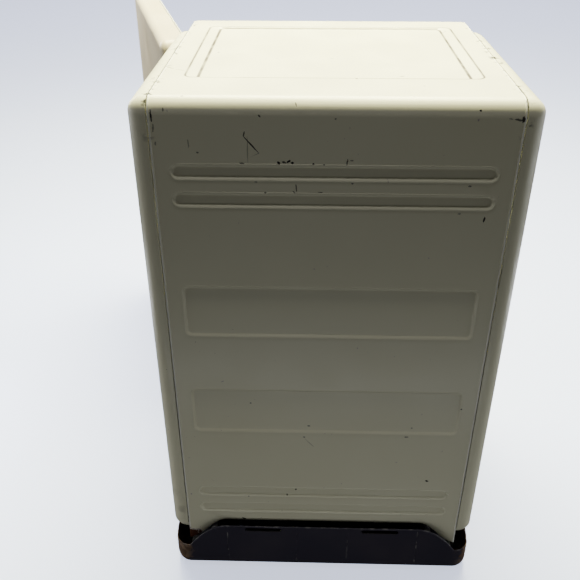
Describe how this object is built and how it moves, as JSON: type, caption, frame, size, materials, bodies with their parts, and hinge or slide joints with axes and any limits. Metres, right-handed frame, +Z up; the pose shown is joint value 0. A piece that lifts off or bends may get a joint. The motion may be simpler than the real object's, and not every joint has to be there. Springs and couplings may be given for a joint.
{
  "type": "trash compactor",
  "caption": "Free-standing household trash compactor with a cream steel cabinet, side-hinged door, pull-out container and screw-driven ram in a black base.",
  "frame": {"origin": "on the floor under the middle of the cabinet", "axes": "+Z up; the door and controls are at the front, towards -Y; +X is the hinge side"},
  "size_m": [0.7464, 0.9915, 0.864],
  "materials": {
    "cream_enamel": "baked enamel, semi-gloss, chipped and scuffed",
    "black_enamel": "enamel, semi-gloss, worn on edges",
    "galvanised_steel": "galvanised, dull",
    "liner_paint": "light grey paint",
    "white_vinyl": "satin vinyl",
    "dark_steel": "oiled, dark",
    "zinc_plated_steel": "bright zinc plate",
    "motor_paint": "satin paint",
    "black_plastic": "moulded, fine grain",
    "belt_rubber": "matt",
    "brown_panel": "moulded, satin",
    "amber_lens": "clear moulded lens",
    "chrome": "polished",
    "bin_enamel": "grey enamel",
    "bronze": "machined",
    "cast_aluminium": "cast and turned",
    "green_plastic": "moulded",
    "red_plastic": "moulded"
  },
  "bodies": {
    "cabinet": {"base_pan": "black_enamel", "base_frame": "galvanised_steel", "cord_gland": "black_plastic", "left_side_panel": "cream_enamel", "right_side_panel": "cream_enamel", "top_back_wrap": "cream_enamel", "front_frame": "cream_enamel", "left_upright": "galvanised_steel", "right_upright": "galvanised_steel", "top_crossbeam": "galvanised_steel", "chamber_floor": "galvanised_steel", "left_liner": "liner_paint", "right_liner": "liner_paint", "back_liner": "liner_paint", "left_lower_bearing": "dark_steel", "right_lower_bearing": "dark_steel", "left_upper_bearing": "dark_steel", "right_upper_bearing": "dark_steel", "motor": "motor_paint", "motor_capacitor": "black_plastic", "drive_chain": "dark_steel", "drive_belt": "belt_rubber", "door_switch": "black_plastic", "catch_plate": "zinc_plated_steel", "control_panel": "brown_panel", "pilot_lamp": "amber_lens", "upper_hinge_frame_leaf": "zinc_plated_steel", "lower_hinge_frame_leaf": "zinc_plated_steel", "upper_hinge_pin": "zinc_plated_steel", "lower_hinge_pin": "zinc_plated_steel"},
    "door": {"door_outer_pan": "cream_enamel", "door_inner_panel": "liner_paint", "door_gasket": "white_vinyl", "door_handle": "chrome", "door_magnet": "dark_steel", "upper_hinge_door_leaf": "zinc_plated_steel", "lower_hinge_door_leaf": "zinc_plated_steel"},
    "container": {"waste_container": "bin_enamel", "container_handle": "chrome"},
    "rear_rollers": {"rear_rollers": "black_plastic"},
    "front_rollers": {"front_rollers": "black_plastic"},
    "ram": {"ram_crosshead": "galvanised_steel", "ram_plate": "galvanised_steel", "left_ram_strut": "galvanised_steel", "right_ram_strut": "galvanised_steel", "left_drive_nut": "bronze", "right_drive_nut": "bronze"},
    "left_screw": {"left_power_screw": "zinc_plated_steel", "left_sprocket": "dark_steel"},
    "right_screw": {"right_power_screw": "zinc_plated_steel", "right_sprocket": "dark_steel"},
    "jackshaft": {"jackshaft": "zinc_plated_steel", "drive_sprocket": "dark_steel", "large_pulley": "cast_aluminium"},
    "motor_pulley": {"motor_pulley": "cast_aluminium"},
    "selector_knob": {"selector_knob": "black_plastic"},
    "start_button": {"start_button": "green_plastic"},
    "stop_button": {"stop_button": "red_plastic"},
    "key": {"key_cylinder": "zinc_plated_steel"}
  },
  "joints": [
    {"name": "door_swing", "type": "hinge", "parent": "cabinet", "child": "door", "pos_m": [0.2655, -0.2408, 0.4685], "axis": [0, 0, 1], "range_deg": [-106.9, 13.1]},
    {"name": "container_slide", "type": "slide", "parent": "cabinet", "child": "container", "axis": [0, -1, 0], "range_m": [0, 0.28]},
    {"name": "rear_roller_turn", "type": "hinge", "parent": "container", "child": "rear_rollers", "pos_m": [0, 0.16, 0.1232], "axis": [1, 0, 0], "range_deg": [0, 1069.6]},
    {"name": "front_roller_turn", "type": "hinge", "parent": "cabinet", "child": "front_rollers", "pos_m": [0, -0.18, 0.1232], "axis": [1, 0, 0], "range_deg": [0, 1069.6]},
    {"name": "ram_travel", "type": "slide", "parent": "cabinet", "child": "ram", "axis": [0, 0, 1], "range_m": [-0.26, 0]},
    {"name": "left_screw_turn", "type": "hinge", "parent": "cabinet", "child": "left_screw", "pos_m": [-0.226, 0, 0.4], "axis": [0, 0, 1], "range_deg": [0, 4680.1]},
    {"name": "right_screw_turn", "type": "hinge", "parent": "cabinet", "child": "right_screw", "pos_m": [0.226, 0, 0.4], "axis": [0, 0, 1], "range_deg": [0, 4680.1]},
    {"name": "jackshaft_turn", "type": "hinge", "parent": "cabinet", "child": "jackshaft", "pos_m": [0, 0.07, 0.05], "axis": [0, 0, 1], "range_deg": [0, 5616.1]},
    {"name": "motor_pulley_turn", "type": "hinge", "parent": "cabinet", "child": "motor_pulley", "pos_m": [0.115, 0.15, 0.084], "axis": [0, 0, 1], "range_deg": [0, 14441.2]},
    {"name": "selector_knob_turn", "type": "hinge", "parent": "cabinet", "child": "selector_knob", "pos_m": [-0.16, -0.24, 0.8445], "axis": [0, 1, 0], "range_deg": [-60, 60]},
    {"name": "start_press", "type": "slide", "parent": "cabinet", "child": "start_button", "axis": [0, 1, 0], "range_m": [0, 0.003], "stiffness_N_per_m": 300},
    {"name": "stop_press", "type": "slide", "parent": "cabinet", "child": "stop_button", "axis": [0, 1, 0], "range_m": [0, 0.003], "stiffness_N_per_m": 300},
    {"name": "key_turn", "type": "hinge", "parent": "cabinet", "child": "key", "pos_m": [0.12, -0.24, 0.8445], "axis": [0, 1, 0], "range_deg": [0, 90]}
  ],
  "couplings": [
    {"joint": "rear_roller_turn", "follows": "container_slide", "rad_per_m": 66.667},
    {"joint": "front_roller_turn", "follows": "container_slide", "rad_per_m": 66.667},
    {"joint": "left_screw_turn", "follows": "ram_travel", "rad_per_m": -314.16},
    {"joint": "right_screw_turn", "follows": "ram_travel", "rad_per_m": -314.16},
    {"joint": "jackshaft_turn", "follows": "ram_travel", "rad_per_m": -376.99},
    {"joint": "motor_pulley_turn", "follows": "ram_travel", "rad_per_m": -969.41}
  ]
}
